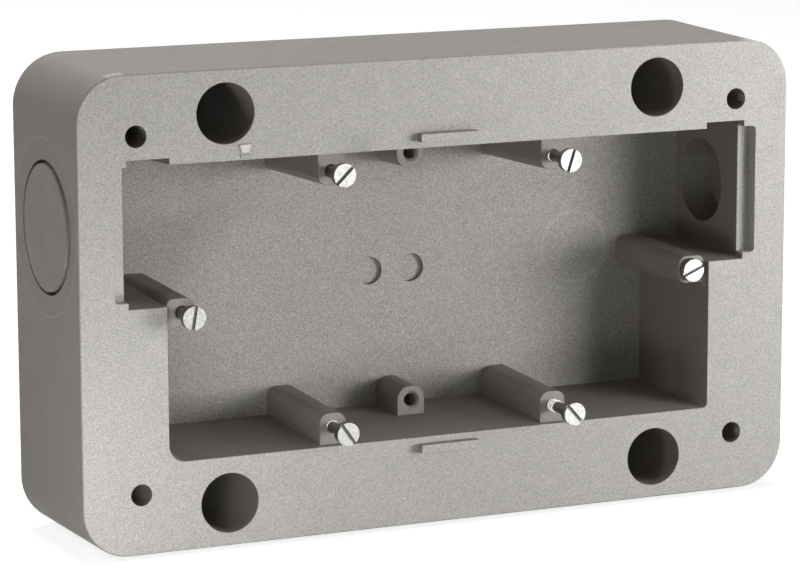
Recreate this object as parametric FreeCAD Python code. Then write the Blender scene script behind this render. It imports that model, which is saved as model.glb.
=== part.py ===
import FreeCAD, Part
import math, os
from FreeCAD import Vector

# Surface mount back box. Millimetres. X right, Z up, the open front looks along -Y.
# The wall plane is Y = 0 and the origin is the middle of the back.

# Outer moulding
width = 181.0
height = 110.0
depth = 41.5
outer_draft = 0.95
corner_r = 11.0
rim_edge = 0.25
skirt_wall = 3.0
face_plate = 4.0
rib_t = 1.8
rib_bays = 6

# Tub behind the opening
opening_w = 139.3
opening_h = 68.4
cavity_depth = 33.0
draft = 1.1
tub_wall = 2.4
corner_r_left = 4.0
corner_r_right = 1.2

# Cable pockets in the upper left and upper right of the opening
pocket_in = 68.6
pocket_w = 10.3
pocket_draft = 0.3
pocket_floor = 1.85
pocket_h = 33.85
rebate_w = 3.2
rebate_inset = 1.5
rebate_depth = 3.0
rebate_r = 1.0

# Cable entries and their knock-outs in the outer wall
entry_d = 20.5
entry_z = 18.4
entry_setback = 20.7
entry_wall = 2.0
knock_d = 29.4
knock_proud = 0.82
knock_edge = 0.12
groove_w = 0.85
groove_depth = 1.4

# Wall fixings and cover fixings
fixing_pitch_x = 110.0
fixing_pitch_z = 90.0
fixing_bore_d = 14.1
fixing_bore_wall = 2.2
fixing_floor = 4.0
fixing_hole_d = 5.5
cover_pitch_x = 153.0
cover_pitch_z = 82.0
cover_hole_d = 5.1
cover_hole_depth = 18.0
cover_boss_wall = 2.4

# Screw posts for the fitted devices
post_pitch_z = 60.0
post_pitch_x = 57.0
side_post_inset = 4.15
post_w = 6.5
post_corner_r = 2.3
post_taper = 0.6
post_setback = 1.8
side_post_reach = 3.8
side_post_r = 1.8
side_flare_r = 2.0
screw_hole_d = 3.1
hole_mouth_d = 4.3
hole_mouth_depth = 0.6
hole_depth = 22.0
boss_w = 7.0
boss_corner_r = 3.2
boss_taper = 0.25
boss_setback = 20.7
boss_hole_depth = 9.0

# Small features
tab_w = 15.0
tab_t = 2.0
tab_gap = 1.5
tab_h = 2.2
tab_r = 0.3
dimple_pitch = 11.0
dimple_d = 6.8
dimple_depth = 1.1
arrow_x = -50.4
arrow_w = 3.0
arrow_h = 1.8
arrow_gap = 1.7
arrow_proud = 0.3
bar_w = 2.3
bar_h = 0.6
bar_gap = 0.5

# Cheese head screws
head_d = 5.5
head_h = 2.0
slot_w = 0.8
slot_d = 0.9
shank_d = 3.0
neck_d = 2.65
neck_l = 7.0
screw_l = 20.0

face_y = -depth
back_y = face_y + cavity_depth
side_pitch_x = opening_w - 2 * side_post_inset


def rounded(xa, xb, za, zb, r, y):
    """Closed wire in the plane of this y, with the same radius on its four corners."""
    arcs = []
    for x, z, sx, sz in ((xa, za, 1, 1), (xb, za, -1, 1), (xb, zb, -1, -1), (xa, zb, 1, -1)):
        a, b = Vector(x, y, z + sz * r), Vector(x + sx * r, y, z)
        k = r * (1 - math.sqrt(0.5))
        m = Vector(x + sx * k, y, z + sz * k)
        arcs.append((a, m, b) if sx * sz > 0 else (b, m, a))
    edges = []
    for i, (a, m, b) in enumerate(arcs):
        edges.append(Part.Arc(a, m, b).toShape())
        edges.append(Part.LineSegment(b, arcs[(i + 1) % 4][0]).toShape())
    return Part.Wire(edges)


def block(xa, xb, za, zb, r, ya, yb):
    return Part.Face(rounded(xa, xb, za, zb, r, ya)).extrude(Vector(0, yb - ya, 0))


def drafted(xa, xb, za, zb, ya, yb, dx=(0, 0), dz=(0, 0), radii=(0, 0, 0, 0)):
    """Block whose sides close in by dx and dz from front to back; radii run round from the lower left."""
    front = [Vector(xa, ya, za), Vector(xb, ya, za), Vector(xb, ya, zb), Vector(xa, ya, zb)]
    xc, xd, zc, zd = xa + dx[0], xb - dx[1], za + dz[0], zb - dz[1]
    back = [Vector(xc, yb, zc), Vector(xd, yb, zc), Vector(xd, yb, zd), Vector(xc, yb, zd)]
    rings = [front, back]
    for i in range(4):
        j = (i + 1) % 4
        rings.append([front[i], front[j], back[j], back[i]])
    faces = [Part.Face(Part.makePolygon(ring + ring[:1])) for ring in rings]
    solid = Part.makeSolid(Part.makeShell(faces))
    if solid.Volume < 0:
        solid.reverse()
    for i, r in enumerate(radii):
        if r > 0:
            solid = solid.makeFillet(r, [edge_between(solid, front[i], back[i])])
    return solid


def edge_between(shape, a, b):
    for e in shape.Edges:
        ends = [v.Point for v in e.Vertexes]
        if len(ends) == 2 and min((ends[0] - a).Length + (ends[1] - b).Length,
                                  (ends[0] - b).Length + (ends[1] - a).Length) < 0.001:
            return e


def along_y(x, z, r, ya, yb):
    return Part.makeCylinder(r, yb - ya, Vector(x, ya, z), Vector(0, 1, 0))


def join(shapes):
    return shapes[0].multiFuse(shapes[1:])


def ease_end(cylinder, x, size):
    """Cylinder along X with its rim at this x eased."""
    rings = [e for e in cylinder.Edges if e.Closed and e.BoundBox.XLength < 0.01]
    return cylinder.makeChamfer(size, [e for e in rings if abs(e.BoundBox.XMin - x) < 0.01])


def corners(px, pz):
    return [(sx * px / 2, sz * pz / 2) for sx in (-1, 1) for sz in (-1, 1)]


half_w, half_h = width / 2, height / 2
in_w = half_w - skirt_wall


def outline(offset, y):
    """Outline of the front, grown by this offset, at this depth."""
    w, h = half_w + offset, half_h + offset
    return rounded(-w, w, -h, h, corner_r + offset, y)


def skin(inset, front_edge, *depths):
    """Outside form of the box this far inside its walls, which lean outwards towards the wall plane."""
    lean = outer_draft / depth
    rings = [outline(lean * (y - face_y) - inset, y) for y in depths]
    if front_edge:
        rings[0] = outline(-front_edge, depths[0])
    return Part.makeLoft(rings, True, True)


# Outer skirt with the front plate, hollow from behind
outer = skin(0, rim_edge, face_y, face_y + rim_edge, 0)
shell = outer.cut(skin(skirt_wall, 0, face_y + face_plate, 1))


def tub(grow, front_y, end_y):
    """The opening with its two side pockets, as a solid grown by this much on every side."""
    ox, oz = opening_w / 2 + grow, opening_h / 2 + grow
    k = draft * (end_y - front_y) / cavity_depth
    side = pocket_draft * (end_y - front_y) / cavity_depth
    radii = (corner_r_left + grow, corner_r_right + grow, 0, 0)
    solids = [drafted(-ox, ox, -oz, oz, front_y, end_y, (k, k), (k, k), radii)]
    low, high = pocket_floor - grow, pocket_floor + pocket_h + grow
    far = pocket_in + pocket_w + grow
    for s in (-1, 1):
        # The pocket opens into the main space; its top stands above it as a notch with a wall of its own
        for near, bottom, top, shut in ((ox - 5, low, oz, 0), (pocket_in - grow, oz - 5, high, k)):
            xa, xb = sorted((s * near, s * far))
            dx = (shut, side) if s > 0 else (side, shut)
            rise = k if bottom == low else 0
            solids.append(drafted(xa, xb, bottom, top, front_y, end_y, dx, (rise, k)))
    return join(solids)


pieces = [shell, tub(tub_wall, face_y + face_plate / 2, back_y + tub_wall)]

# Tubes for the wall fixings, bosses for the cover screws
for x, z in corners(fixing_pitch_x, fixing_pitch_z):
    pieces.append(along_y(x, z, fixing_bore_d / 2 + fixing_bore_wall, face_y + face_plate / 2, 0))
for x, z in corners(cover_pitch_x, cover_pitch_z):
    end = face_y + cover_hole_depth + cover_boss_wall
    pieces.append(along_y(x, z, cover_hole_d / 2 + cover_boss_wall, face_y + face_plate / 2, end))

# Sleeves that lead from the pockets to the knock-outs; the cavity takes what lies in a pocket
entry_y = face_y + entry_setback
for s in (-1, 1):
    near = pocket_in + pocket_w / 2
    foot = Vector(s * near, entry_y, entry_z)
    pieces.append(Part.makeCylinder(entry_d / 2 + entry_wall, in_w + 0.5 - near, foot, Vector(s, 0, 0)))

# Ribs behind the front plate, upright and level, all reaching the wall plane. The outer upright
# ones at the fixings run through the middle of the tubes.
rib_y = face_y + face_plate / 2
side_rib = (opening_w / 2 + tub_wall + in_w) / 2
half_bays = rib_bays // 2
upright = [i * fixing_pitch_x / rib_bays for i in range(-half_bays, half_bays + 1)]
tall = height - 2 * rim_edge
for x in upright + [-side_rib, side_rib]:
    pieces.append(Part.makeBox(rib_t, -rib_y, tall, Vector(x - rib_t / 2, rib_y, -tall / 2)))
for i in range(1 - half_bays, half_bays):
    z = i * fixing_pitch_z / rib_bays
    # A level rib at the height of the cable entries stops short of them
    reach = side_rib if abs(z - entry_z) < entry_d / 2 else half_w - skirt_wall / 2
    pieces.append(Part.makeBox(2 * reach, -rib_y, rib_t, Vector(-reach, rib_y, z - rib_t / 2)))
body = join(pieces).common(outer)

# Cavity with its two pockets and the shallow rebates beside them
cavity = tub(0.0, face_y, back_y)
body = body.cut(cavity)
for s in (-1, 1):
    far = pocket_in + pocket_w
    xa, xb = sorted((s * (far - 1.0), s * (far + rebate_w)))
    za, zb = pocket_floor + rebate_inset, pocket_floor + pocket_h - rebate_inset
    step = block(xa, xb, za, zb, rebate_r, face_y - 1, face_y + rebate_depth)
    body = body.cut(step)


def post(x, z, away, w, corner, grow, base, ya, upper_r=0):
    """Post whose rounded side points along away, a unit step in X or Z, and which is thicker at the back.
    A side post may have this radius on the upper corner beside the wall."""
    h = w / 2
    end = back_y + tub_wall / 2
    if away[0]:
        xa, xb = sorted((x - away[0] * base, x + away[0] * h))
        radii = (0, corner, corner, upper_r) if away[0] > 0 else (corner, 0, upper_r, corner)
        dx = (0, -grow) if away[0] > 0 else (-grow, 0)
        return drafted(xa, xb, z - h, z + h, ya, end, dx, (-grow, -grow), radii)
    za, zb = sorted((z - away[1] * base, z + away[1] * h))
    radii = (0, 0, corner, corner) if away[1] > 0 else (corner, corner, 0, 0)
    dz = (0, -grow) if away[1] > 0 else (-grow, 0)
    return drafted(x - h, x + h, za, zb, ya, end, (-grow, -grow), dz, radii)


post_y = face_y + post_setback
boss_y = face_y + boss_setback
half_post_z = post_pitch_z / 2
floor_base = opening_h / 2 - half_post_z + tub_wall / 2
posts = []
for x, z in corners(post_pitch_x, post_pitch_z):
    posts.append(post(x, z, (0, -1 if z > 0 else 1), post_w, post_corner_r, post_taper, floor_base, post_y))
for s in (-1, 1):
    x = s * side_pitch_x / 2
    posts.append(post(x, 0, (-s, 0), post_w, post_corner_r, post_taper, side_post_reach, post_y, side_post_r))
    xa, xb = sorted((x + s * (side_post_reach - 1.2), x + s * (side_post_reach + tub_wall)))
    foot_top = pocket_floor - 0.05
    long = back_y + tub_wall / 2 - post_y
    posts.append(Part.makeBox(xb - xa, long, foot_top + post_w / 2, Vector(xa, post_y, -post_w / 2)))
    # Concave flare where the underside of the post meets the side wall
    mid_x, mid_z = s * (opening_w / 2 - side_flare_r), -post_w / 2 - side_flare_r
    xa, xb = sorted((mid_x, s * (opening_w + tub_wall) / 2))
    web = Part.makeBox(xb - xa, long, side_flare_r + post_w / 4, Vector(xa, post_y, mid_z))
    posts.append(web.cut(along_y(mid_x, mid_z, side_flare_r, post_y - 1, post_y + long + 1)))
    z = s * half_post_z
    posts.append(post(0, z, (0, -s), boss_w, boss_corner_r, boss_taper, floor_base, boss_y))
body = join([body] + posts)

# Screw holes; those of the two short bosses have a countersunk mouth
screw_at = [
    ("screw_upper_left", -post_pitch_x / 2, half_post_z, 6.1, 44.0),
    ("screw_upper_right", post_pitch_x / 2, half_post_z, 7.25, 72.0),
    ("screw_middle_left", -side_pitch_x / 2, 0.0, 6.2, 80.0),
    ("screw_middle_right", side_pitch_x / 2, 0.0, 0.05, 23.0),
    ("screw_lower_left", -post_pitch_x / 2, -half_post_z, 7.25, -55.0),
    ("screw_lower_right", post_pitch_x / 2, -half_post_z, 10.0, -49.0),
]
cuts = [along_y(x, z, screw_hole_d / 2, post_y - 1, post_y + hole_depth) for _, x, z, _, _ in screw_at]
for z in (-half_post_z, half_post_z):
    cuts.append(along_y(0, z, screw_hole_d / 2, boss_y - 1, boss_y + boss_hole_depth))
    mouth, at = hole_mouth_d / 2, Vector(0, boss_y, z)
    cuts.append(Part.makeCone(mouth, screw_hole_d / 2, hole_mouth_depth, at, Vector(0, 1, 0)))

# Deep bores and through holes for the wall screws, blind holes for the cover screws
for x, z in corners(fixing_pitch_x, fixing_pitch_z):
    cuts.append(along_y(x, z, fixing_bore_d / 2, face_y - 1, -fixing_floor))
    cuts.append(along_y(x, z, fixing_hole_d / 2, -fixing_floor - 1, 1))
for x, z in corners(cover_pitch_x, cover_pitch_z):
    cuts.append(along_y(x, z, cover_hole_d / 2, face_y - 1, face_y + cover_hole_depth))

# Cable entries from the pockets, recesses for the knock-outs, dimples in the back wall
for s in (-1, 1):
    x0 = pocket_in + pocket_w - pocket_draft - 1.0
    hole = Part.makeCylinder(entry_d / 2, in_w - x0, Vector(s * x0, entry_y, entry_z), Vector(s, 0, 0))
    cuts.append(hole)
    at = Vector(s * (half_w - groove_depth), entry_y, entry_z)
    cuts.append(Part.makeCylinder(knock_d / 2 + groove_w, groove_depth + 1, at, Vector(s, 0, 0)))
    cuts.append(along_y(s * dimple_pitch / 2, 0, dimple_d / 2, back_y - 1, back_y + dimple_depth))
body = body.cut(join(cuts))

# Knock-outs set in their recesses, square to the box and so proud of the leaning wall towards the
# front, then the locating tabs and the small arrow on the front
adds = []
for s in (-1, 1):
    tip = s * (half_w + knock_proud)
    thick = knock_proud + 0.7 * skirt_wall
    disc = Part.makeCylinder(knock_d / 2, thick, Vector(tip, entry_y, entry_z), Vector(-s, 0, 0))
    adds.append(ease_end(disc, tip, knock_edge))
    za, zb = sorted((s * (opening_h / 2 + tab_gap), s * (opening_h / 2 + tab_gap + tab_t)))
    adds.append(block(-tab_w / 2, tab_w / 2, za, zb, tab_r, face_y - tab_h, face_y + 1))
low = opening_h / 2 + arrow_gap - bar_gap - bar_h
at = Vector(arrow_x - bar_w / 2, face_y - arrow_proud, low)
adds.append(Part.makeBox(bar_w, arrow_proud + 1, bar_h, at))
top = opening_h / 2 + arrow_gap + arrow_h
tri = Part.makePolygon([Vector(arrow_x - arrow_w / 2, face_y - arrow_proud, top),
                        Vector(arrow_x + arrow_w / 2, face_y - arrow_proud, top),
                        Vector(arrow_x + arrow_w / 4, face_y - arrow_proud, top - arrow_h),
                        Vector(arrow_x - arrow_w / 4, face_y - arrow_proud, top - arrow_h),
                        Vector(arrow_x - arrow_w / 2, face_y - arrow_proud, top)])
adds.append(Part.Face(tri).extrude(Vector(0, arrow_proud + 1, 0)))
body = join([body] + adds).removeSplitter()


def screw(x, z, out, turn):
    """Slotted cheese head screw whose head stands this far off its post, slot turned from level."""
    y = post_y - out
    head = along_y(x, z, head_d / 2, y - head_h, y)
    slot = Part.makeBox(head_d + 2, slot_d + 1, slot_w,
                        Vector(x - head_d / 2 - 1, y - head_h - 1, z - slot_w / 2))
    slot.rotate(Vector(x, y, z), Vector(0, -1, 0), turn)
    neck = along_y(x, z, neck_d / 2, y, y + neck_l)
    thread = along_y(x, z, shank_d / 2, y + neck_l, y + screw_l)
    return join([head.cut(slot), neck, thread]).removeSplitter()


os.makedirs("parts", exist_ok=True)
solids = {"housing": body}
for name, x, z, out, turn in screw_at:
    solids[name] = screw(x, z, out, turn)
for name, shape in solids.items():
    solid = shape.Solids[0] if len(shape.Solids) == 1 else shape
    print(name, "solids", len(shape.Solids), "valid", solid.isValid(), "mm3", round(solid.Volume, 1),
          "box", [round(v, 2) for v in (solid.BoundBox.XMin, solid.BoundBox.XMax, solid.BoundBox.YMin,
                                        solid.BoundBox.YMax, solid.BoundBox.ZMin, solid.BoundBox.ZMax)])
    solid.exportStep("parts/" + name + ".step")
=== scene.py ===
import bmesh
import bpy
import math
from mathutils import Matrix, Vector


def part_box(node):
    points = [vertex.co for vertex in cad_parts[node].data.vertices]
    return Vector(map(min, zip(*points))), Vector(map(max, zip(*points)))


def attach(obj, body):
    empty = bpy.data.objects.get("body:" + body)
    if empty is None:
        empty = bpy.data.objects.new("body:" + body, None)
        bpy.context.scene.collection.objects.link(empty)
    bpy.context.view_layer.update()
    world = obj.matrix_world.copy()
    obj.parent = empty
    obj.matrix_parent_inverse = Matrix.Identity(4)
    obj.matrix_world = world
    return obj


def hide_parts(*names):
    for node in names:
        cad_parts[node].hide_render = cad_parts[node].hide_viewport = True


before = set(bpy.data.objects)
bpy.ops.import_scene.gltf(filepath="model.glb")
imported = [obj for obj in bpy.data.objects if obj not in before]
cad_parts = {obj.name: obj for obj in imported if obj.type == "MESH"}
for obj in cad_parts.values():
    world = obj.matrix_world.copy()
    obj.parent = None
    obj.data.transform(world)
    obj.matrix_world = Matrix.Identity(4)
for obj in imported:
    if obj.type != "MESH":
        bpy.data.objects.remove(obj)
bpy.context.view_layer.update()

# Camera, solved from the outline and the holes in the photograph, for a frame 800 wide
FRAME_W = 800
FOCAL = 3520.62
SENSOR = 36.0
NEAREST, FARTHEST = 0.01, 20.0
EYE = Vector((-0.34226, -0.77348, 0.14958))
YAW, PITCH, ROLL = 0.42372, -0.18348, -0.00285

# Zones of the housing in the frame, in metres: a mask is nought at the first place and one at the
# second, and where there are four, it goes back to nought from the third to the fourth
FRONT_Y = -0.0410, -0.0413
BACK_WALL_Y = -0.0120, -0.0110
ARROW_Y = -0.04200, -0.04190, -0.04165, -0.04160
ARROW_Z = 0.0357, 0.0358
REBATE_X = 0.0788, 0.0790, 0.0828, 0.0830
REBATE_Y = -0.0380, -0.0384
OUTSIDE_X = 0.0890, 0.0895

# Witness circles of mould inserts, in metres: centre, radius and width of the line. The first is on
# the back wall (X and Z), the second lies round each knock-out (Y and Z).
INSERT = (0.0498, 0.0019), 0.00875, 0.0005
AROUND = (-0.0200, 0.0184), 0.0206, 0.0003

# Plastic: the lowest and highest tone of each finish and of each painted shade, light and sheen, and
# the size of its patches in metres
FRONT_TONES = (0.325, 0.314, 0.296, 1), (0.600, 0.581, 0.550, 1)
# The back wall's tones are darker than the front's as painted shade in the cavity
BACK_WALL_SHADE_TONES = (0.215, 0.205, 0.188, 1), (0.495, 0.474, 0.441, 1)
DRAWN_TONES = (0.218, 0.200, 0.174, 1), (0.262, 0.240, 0.211, 1)
END_TONES = (0.225, 0.210, 0.188, 1), (0.345, 0.325, 0.294, 1)
CLOUD_TONE = (0.30, 0.285, 0.26, 1)
# A painted sheen: the lighter tone of the arrow's top and of the witness circles
PAINTED_SHEEN_TONE = (0.74, 0.715, 0.67, 1)
GRAIN, FINE_GRAIN, CLOUD = 0.00030, 0.00022, 0.006
# The mark share is how much painted sheen lies along the witness circles
CLOUD_SHARE, MARK_SHEEN_SHARE = 0.10, 0.16
EASED_EDGE = 0.00025

# Screws: the same sizes as the solids that they stand for, in millimetres
MM = 0.001
HEAD_R, HEAD_H, HEAD_EDGE, UNDER_EDGE = 2.75, 2.0, 0.10, 0.12
SLOT_W, SLOT_D, SLOT_EDGE = 0.8, 0.9, 0.04
NECK_R, NECK_L, NECK_FILLET = 1.325, 7.0, 0.15
THREAD_R, THREAD_DEPTH, THREAD_FROM, PITCH_MM, SCREW_L = 1.5, 0.2, 6.35, 1.0, 20.0

# How far each screw is turned, in degrees
SCREWS = {"upper_left": 44.0, "upper_right": 72.0, "middle_left": 80.0,
          "middle_right": 23.0, "lower_left": -55.0, "lower_right": -49.0}

# Zinc plating: the lightest and darkest colour and the lowest and highest roughness of each zone. The
# slot, the head's side and the neck are darker as painted shade, the thread crests lighter as painted
# highlight
HEAD, SLOT, SIDE, THREAD = range(4)
ZINC_AND_PAINTED_LIGHT = {
    "zinc_plated_head": ((0.50, 0.495, 0.48), (0.28, 0.275, 0.265), 0.38, 0.52),
    # Slot: painted shade
    "zinc_plated_slot_painted_shade": ((0.28, 0.27, 0.255), (0.17, 0.165, 0.15), 0.40, 0.55),
    # Side of the head, neck and thread roots: painted shade
    "zinc_plated_side_painted_shade": ((0.26, 0.25, 0.235), (0.15, 0.145, 0.135), 0.30, 0.45),
    # Thread crests: painted highlight
    "zinc_plated_thread_painted_highlight": ((0.90, 0.89, 0.87), (0.76, 0.75, 0.73), 0.20, 0.32),
}

# Lamps: place, size across, power and the point they face, in metres and watts
BOX = (0, -0.02, 0)
LAMPS = {
    "key_right": ((0.34, -0.42, 0.0), 0.25, 2.2, BOX),
    "right": ((0.42, -0.33, 0.02), 0.25, 0.4, BOX),
    "top": ((0.0, -0.28, 1.48), 0.5, 3.4, BOX),
    "left_back": ((-1.145, 0.08, 0.964), 0.5, 5.2, BOX),
    "back": ((0.0, 0.84, 1.229), 0.6, 9.5, BOX),
    "front_left": ((-0.26, -0.98, 0.05), 0.3, 0.25, BOX),
    "low_left": ((-0.115, -0.125, -0.045), 0.04, 0.064, (-0.085, -0.047, -0.045)),
    "high_right": ((0.13, -0.13, 0.10), 0.05, 0.036, (0.085, -0.047, 0.05)),
}

# Floor: half its width in metres, its grey, and what it glows for the camera to be seen as white
FLOOR_HALF, FLOOR_GREY, FLOOR_GLOW = 6.0, 0.45, 0.80


def make_camera():
    data = bpy.data.cameras.new("camera")
    data.sensor_width = SENSOR
    data.lens = FOCAL / FRAME_W * data.sensor_width
    data.clip_start, data.clip_end = NEAREST, FARTHEST
    cam = bpy.data.objects.new("camera", data)
    bpy.context.scene.collection.objects.link(cam)
    level = math.cos(PITCH)
    ahead = Vector((math.sin(YAW) * level, math.cos(YAW) * level, math.sin(PITCH)))
    right = Vector((math.cos(YAW), -math.sin(YAW), 0.0))
    up = right.cross(ahead)
    across = right * math.cos(ROLL) + up * math.sin(ROLL)
    above = up * math.cos(ROLL) - right * math.sin(ROLL)
    rows = [[across[i], above[i], -ahead[i], EYE[i]] for i in range(3)]
    cam.matrix_world = Matrix(rows + [[0, 0, 0, 1]])
    bpy.context.scene.camera = cam


class Nodes:
    """Small helper that adds shader nodes to one material and links them."""

    def __init__(self, name):
        self.material = bpy.data.materials.new(name)
        self.material.use_nodes = True
        self.tree = self.material.node_tree
        self.tree.nodes.clear()
        self.out = self.tree.nodes.new("ShaderNodeOutputMaterial")

    def add(self, kind, inputs=None, **settings):
        node = self.tree.nodes.new("ShaderNode" + kind)
        for key, value in settings.items():
            setattr(node, key, value)
        for key, value in (inputs or {}).items():
            if isinstance(value, bpy.types.NodeSocket):
                self.tree.links.new(value, node.inputs[key])
            else:
                node.inputs[key].default_value = value
        return node

    def math(self, operation, a, b=0.0):
        return self.add("Math", {0: a, 1: b}, operation=operation).outputs[0]

    def times(self, a, b):
        return self.math("MULTIPLY", a, b)

    def blend(self, share, a, b):
        """The colour a where the share is nought, b where it is one."""
        return self.add("Mix", {0: share, 6: a, 7: b}, data_type="RGBA").outputs[2]

    def ramp(self, value, low, high, to_low=0.0, to_high=1.0):
        return self.add("MapRange", {0: value, 1: low, 2: high, 3: to_low, 4: to_high}).outputs[0]

    def within(self, value, edges):
        """One between the two middle edges, nought outside the outer two."""
        return self.times(self.ramp(value, edges[0], edges[1]), self.ramp(value, edges[3], edges[2]))

    def noise(self, where, size, detail=2.0, rough=0.5):
        """Noise whose patches are about this many metres across."""
        inputs = {"Vector": where, "Scale": 1.0 / size, "Detail": detail, "Roughness": rough}
        return self.add("TexNoise", inputs).outputs[0]

    def ring(self, a, b, centre, radius, width):
        """One on a fine circle in the plane of the coordinates a and b, nought away from it."""
        across = self.math("POWER", self.math("SUBTRACT", a, centre[0]), 2.0)
        along = self.math("POWER", self.math("SUBTRACT", b, centre[1]), 2.0)
        away = self.math("SQRT", self.math("ADD", across, along))
        return self.ramp(self.math("ABSOLUTE", self.math("SUBTRACT", away, radius)), width, 0.0)

    def finish(self, shader):
        self.tree.links.new(shader, self.out.inputs["Surface"])
        return self.material


def plastic():
    n = Nodes("grey_moulded_plastic")
    where = n.add("TexCoord").outputs["Object"]
    side = n.add("SeparateXYZ", {0: n.add("NewGeometry").outputs["True Normal"]}).outputs
    x, y, z = n.add("SeparateXYZ", {0: where}).outputs
    out = n.math("ABSOLUTE", x)
    # Faces square to the pull of the mould are sand textured where they are on the front or the
    # back wall. The drawn sides and the ends of the posts are smoother.
    square = n.ramp(n.math("ABSOLUTE", side[1]), 0.5, 0.9)
    flank = n.ramp(n.math("ABSOLUTE", side[0]), 0.9, 0.99)
    on_back_wall = n.ramp(y, *BACK_WALL_Y)
    sand = n.times(square, n.math("MAXIMUM", n.ramp(y, *FRONT_Y), on_back_wall))
    # The walls of the rebates near the front take the front's tones as painted light
    rebate_painted_light = n.times(n.within(out, REBATE_X), n.ramp(y, *REBATE_Y))
    # The small arrow stands just above the front; its smooth top is painted lighter as a painted sheen
    arrow_sheen = n.times(n.times(square, n.ramp(z, *ARROW_Z)), n.within(y, ARROW_Y))
    # Faint witness circles of mould inserts, bumped, and painted lighter along them as a painted sheen
    marks = n.math("ADD", n.times(n.ring(x, z, *INSERT), sand),
                   n.times(n.ring(y, z, *AROUND), n.times(flank, n.ramp(out, *OUTSIDE_X))))
    grain = n.noise(where, GRAIN, 3.0, 0.7)
    fine = n.noise(where, FINE_GRAIN, 1.0)
    cloud = n.noise(where, CLOUD, 3.0, 0.6)
    light = n.ramp(grain, 0.34, 0.67)
    # The sand of the back wall is painted a little darker than that of the front, as painted shade
    # deep in the cavity
    low, high = [n.blend(on_back_wall, *pair) for pair in zip(FRONT_TONES, BACK_WALL_SHADE_TONES)]
    tone = n.blend(light, low, high)
    smoother = n.blend(square, n.blend(light, *DRAWN_TONES), n.blend(light, *END_TONES))
    colour = n.blend(sand, smoother, tone)
    # Painted light: the rebate walls near the front take the front's tone
    colour = n.blend(rebate_painted_light, colour, tone)
    colour = n.blend(n.ramp(cloud, 0.35, 0.65, 0.0, CLOUD_SHARE), colour, CLOUD_TONE)
    # Painted sheen on the top of the arrow
    colour = n.blend(arrow_sheen, colour, PAINTED_SHEEN_TONE)
    # Painted sheen along the witness circles, over their real bump
    colour = n.blend(n.times(marks, MARK_SHEEN_SHARE), colour, PAINTED_SHEEN_TONE)
    rough = n.ramp(cloud, 0.3, 0.7, 0.50, 0.60)
    relief = n.times(n.math("ADD", grain, n.times(fine, 0.5)), n.ramp(sand, 0.0, 1.0, 0.3, 1.0))
    eased = n.add("Bevel", {"Radius": EASED_EDGE}, samples=6).outputs[0]
    bump = n.add("Bump", {"Strength": 0.4, "Distance": 0.00006, "Height": n.math("ADD", relief, marks),
                          "Normal": eased}).outputs[0]
    shader = n.add("BsdfPrincipled", {"Base Color": colour, "Roughness": rough, "Normal": bump,
                                      "Specular IOR Level": 0.3})
    return n.finish(shader.outputs[0])


def metal(name, light, dark, low, high):
    """Zinc plated steel, with its lightest and darkest colour and its lowest and highest roughness."""
    n = Nodes(name)
    where = n.add("TexCoord").outputs["Object"]
    worn = n.noise(where, 0.0007, 5.0, 0.7)
    fine = n.noise(where, 0.00012, 2.0)
    colour = n.blend(n.ramp(worn, 0.35, 0.7), light + (1,), dark + (1,))
    rough = n.ramp(fine, 0.3, 0.7, low, high)
    bump = n.add("Bump", {"Strength": 0.12, "Distance": 0.00002, "Height": fine}).outputs[0]
    shader = n.add("BsdfPrincipled", {"Base Color": colour, "Roughness": rough, "Normal": bump,
                                      "Metallic": 1.0})
    return n.finish(shader.outputs[0])


def circle(bm, radius, y, steps):
    """Vertices round the Y axis, or one vertex on it where the radius is nought."""
    if radius == 0:
        return [bm.verts.new((0, y, 0))]
    turns = [2 * math.pi * k / steps for k in range(steps)]
    return [bm.verts.new((radius * math.cos(t), y, radius * math.sin(t))) for t in turns]


def turned(profile, steps):
    """Closed solid from (radius, depth) points turned round the Y axis."""
    bm = bmesh.new()
    rings = [circle(bm, r, y, steps) for r, y in profile]
    for a, b in zip(rings, rings[1:]):
        for k in range(steps):
            j = (k + 1) % steps
            if len(a) == 1:
                bm.faces.new((a[0], b[j], b[k]))
            elif len(b) == 1:
                bm.faces.new((a[k], a[j], b[0]))
            else:
                bm.faces.new((a[k], a[j], b[j], b[k]))
    bmesh.ops.recalc_face_normals(bm, faces=bm.faces)
    return bm


def to_object(bm, name):
    mesh = bpy.data.meshes.new(name)
    bm.to_mesh(mesh)
    bm.free()
    obj = bpy.data.objects.new(name, mesh)
    bpy.context.scene.collection.objects.link(obj)
    return obj


def screw_head(name, steps=96, arc=6):
    """Cheese head with eased edges and a slot cut across it; its underside is at y = 0, facing +Y."""
    e = HEAD_EDGE
    profile = [(0, -HEAD_H), (HEAD_R - 2.2 * e, -HEAD_H)]
    for k in range(arc + 1):
        t = math.pi / 2 * k / arc
        profile.append((HEAD_R - e + e * math.sin(t), -HEAD_H + e - e * math.cos(t)))
    profile += [(HEAD_R, -UNDER_EDGE), (HEAD_R - UNDER_EDGE, 0)]
    profile += [(NECK_R + NECK_FILLET, 0), (NECK_R, NECK_FILLET)]
    profile += [(NECK_R, NECK_L - 0.3), (NECK_R, NECK_L + 0.2), (0, NECK_L + 0.2)]
    head = to_object(turned(profile, steps), name)
    bm = bmesh.new()
    bmesh.ops.create_cube(bm, size=1.0)
    bmesh.ops.scale(bm, vec=(2 * HEAD_R + 2, 2 * SLOT_D, SLOT_W), verts=bm.verts)
    bmesh.ops.translate(bm, vec=(0, -HEAD_H, 0), verts=bm.verts)
    cutter = to_object(bm, name + "_cutter")
    cut = head.modifiers.new("slot", "BOOLEAN")
    cut.object, cut.solver = cutter, "EXACT"
    ease = head.modifiers.new("ease", "BEVEL")
    ease.width, ease.segments = SLOT_EDGE, 2
    ease.limit_method, ease.angle_limit = "ANGLE", math.radians(50)
    shape = bpy.data.meshes.new_from_object(head.evaluated_get(bpy.context.evaluated_depsgraph_get()))
    head.modifiers.clear()
    head.data = shape
    bpy.data.objects.remove(cutter)
    return head


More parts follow.
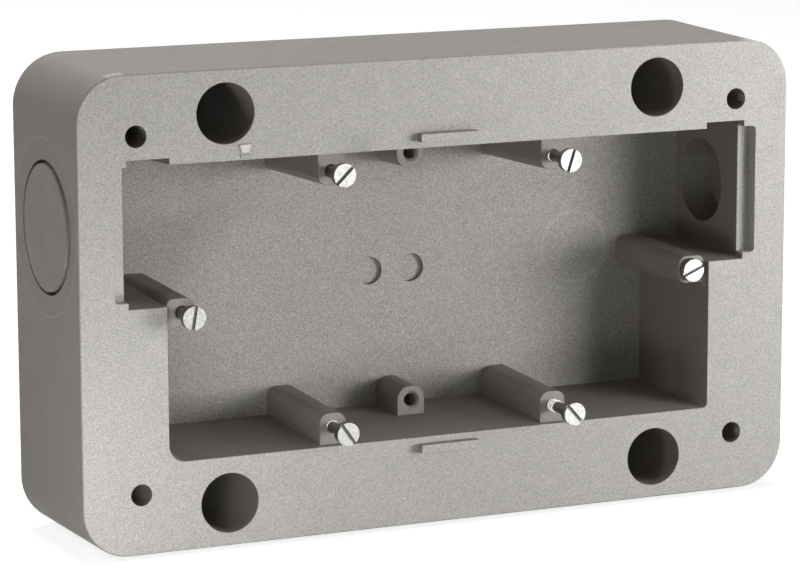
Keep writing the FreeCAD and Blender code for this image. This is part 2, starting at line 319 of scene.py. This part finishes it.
def thread(steps=28):
    """Helical thread as one skin, from the neck to the tip of the screw."""
    bm = bmesh.new()
    root, crest = THREAD_R - THREAD_DEPTH, THREAD_R
    # One turn of the thread: how far along the pitch, and the radius there
    profile = ((0.00, root), (0.45, root), (0.55, crest), (0.70, crest))
    count = int((SCREW_L - THREAD_FROM - 0.4) / PITCH_MM) * steps
    rows = []
    for k in range(count + 1):
        angle = 2 * math.pi * k / steps
        # The thread rises from its root over a quarter turn, and sinks over three quarters
        lead = min(1.0, k / (steps * 0.25), (count - k) / (steps * 0.75))
        row = []
        for rise, r in profile:
            radius = root + (r - root) * lead
            y = THREAD_FROM + 0.05 + PITCH_MM * k / steps + rise
            row.append(bm.verts.new((radius * math.cos(angle), y, radius * math.sin(angle))))
        rows.append(row)
    for a, b in zip(rows, rows[1:]):
        for i in range(len(profile) - 1):
            bm.faces.new((a[i], a[i + 1], b[i + 1], b[i]))
    for k in range(count - steps):
        a, b, c, d = rows[k], rows[k + 1], rows[k + steps], rows[k + 1 + steps]
        bm.faces.new((a[-1], c[0], d[0], b[-1]))
    for index, last, y in ((0, rows[:steps + 1], THREAD_FROM - 0.1), (-1, rows[-steps - 1:], SCREW_L)):
        edge = [row[index] for row in last]
        cap = circle(bm, root * 0.96, y, steps)
        for k in range(steps):
            bm.faces.new((edge[k], edge[k + 1], cap[(k + 1) % steps], cap[k]))
        bm.faces.new(cap)
    bmesh.ops.recalc_face_normals(bm, faces=bm.faces)
    return bm


def smooth(obj, degrees=35):
    """Smooth shading between sharp edges; the ends and the slot floor stay flat."""
    obj.data.set_sharp_from_angle(angle=math.radians(degrees))
    for face in obj.data.polygons:
        face.use_smooth = abs(face.normal.y) < 0.999


def zinc_and_painted_light_zones(mesh):
    """Each face of a screw takes the zinc tone of its zone: painted shade in the slot, on the side,
    the neck and the thread roots, painted highlight on the thread crests; what is left is the head.
    """
    for face in mesh.polygons:
        middle = face.center
        in_slot = abs(middle.z) < SLOT_W / 2 + 0.01 and middle.y < -HEAD_H + SLOT_D + 0.05
        # Thread crests take painted highlight, the roots the painted shade of the side
        if middle.y > THREAD_FROM:
            on_thread = math.hypot(middle.x, middle.z) > THREAD_R - 0.6 * THREAD_DEPTH
            face.material_index = THREAD if on_thread else SIDE
        # The slot takes painted shade
        elif middle.y > -HEAD_H + 0.05 and in_slot and abs(middle.x) < HEAD_R - 0.02:
            face.material_index = SLOT
        # The head's side and the neck take painted shade
        elif middle.y > -HEAD_H + HEAD_EDGE:
            face.material_index = SIDE


def screw_form():
    """One mesh of a whole screw in millimetres, with its four zinc tones: the head, the painted shade
    of the slot and the side, and the painted highlight of the thread.
    """
    form = bmesh.new()
    head = screw_head("screw_head_form")
    form.from_mesh(head.data)
    bpy.data.objects.remove(head)
    helix = bpy.data.meshes.new("thread_form")
    part = thread()
    part.to_mesh(helix)
    part.free()
    form.from_mesh(helix)
    base = bpy.data.meshes.new("screw_form")
    form.to_mesh(base)
    form.free()
    for name, look in ZINC_AND_PAINTED_LIGHT.items():
        base.materials.append(metal(name, *look))
    zinc_and_painted_light_zones(base)
    return base


def build_screws():
    base = screw_form()
    for place, turn in SCREWS.items():
        node = "screw_" + place
        low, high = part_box(node)
        middle = (low + high) / 2
        under = low.y + HEAD_H * MM
        mesh = base.copy()
        mesh.transform(Matrix.Translation((middle.x, under, middle.z))
                       @ Matrix.Rotation(math.radians(-turn), 4, "Y") @ Matrix.Scale(MM, 4))
        obj = bpy.data.objects.new("slotted_screw_" + place, mesh)
        bpy.context.scene.collection.objects.link(obj)
        smooth(obj)
        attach(obj, "root")
        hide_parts(node)


def backdrop():
    """Pale floor under the box, seen as white, which keeps the soft shadow."""
    n = Nodes("pale_floor")
    path = n.add("LightPath").outputs
    seen = n.math("MAXIMUM", path["Is Camera Ray"], path["Is Glossy Ray"])
    pale = n.add("BsdfDiffuse", {"Color": (FLOOR_GREY, FLOOR_GREY, FLOOR_GREY, 1)})
    lift = n.add("Emission", {"Color": (1, 1, 1, 1), "Strength": n.times(seen, FLOOR_GLOW)})
    both = n.add("AddShader", {0: pale.outputs[0], 1: lift.outputs[0]})
    material = n.finish(both.outputs[0])
    bm = bmesh.new()
    s, z = FLOOR_HALF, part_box("housing")[0].z
    bm.faces.new([bm.verts.new(p) for p in ((-s, -s, z), (s, -s, z), (s, s, z), (-s, s, z))])
    floor = to_object(bm, "floor")
    floor.data.materials.append(material)


def lights():
    for name, (place, size, power, aim) in LAMPS.items():
        data = bpy.data.lights.new(name, "AREA")
        data.shape, data.size, data.energy = "DISK", size, power
        lamp = bpy.data.objects.new(name, data)
        lamp.location = place
        lamp.rotation_mode = "QUATERNION"
        lamp.rotation_quaternion = (Vector(place) - Vector(aim)).to_track_quat("Z", "Y")
        lamp.visible_camera = False
        bpy.context.scene.collection.objects.link(lamp)


def studio_world():
    """A world that is white for the camera and in reflections, and gives no other light."""
    world = bpy.data.worlds.new("studio")
    world.use_nodes = True
    tree = world.node_tree
    back = tree.nodes["Background"]
    path = tree.nodes.new("ShaderNodeLightPath")
    seen = tree.nodes.new("ShaderNodeMath")
    seen.operation = "MAXIMUM"
    for i, ray in enumerate(("Is Camera Ray", "Is Glossy Ray")):
        tree.links.new(path.outputs[ray], seen.inputs[i])
    tree.links.new(seen.outputs[0], back.inputs["Strength"])
    back.inputs["Color"].default_value = (1, 1, 1, 1)
    bpy.context.scene.world = world


make_camera()
bpy.context.scene.view_settings.view_transform = "Standard"
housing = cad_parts["housing"]
housing.data.materials.clear()
housing.data.materials.append(plastic())
build_screws()
backdrop()
lights()
studio_world()

bpy.context.view_layer.update()
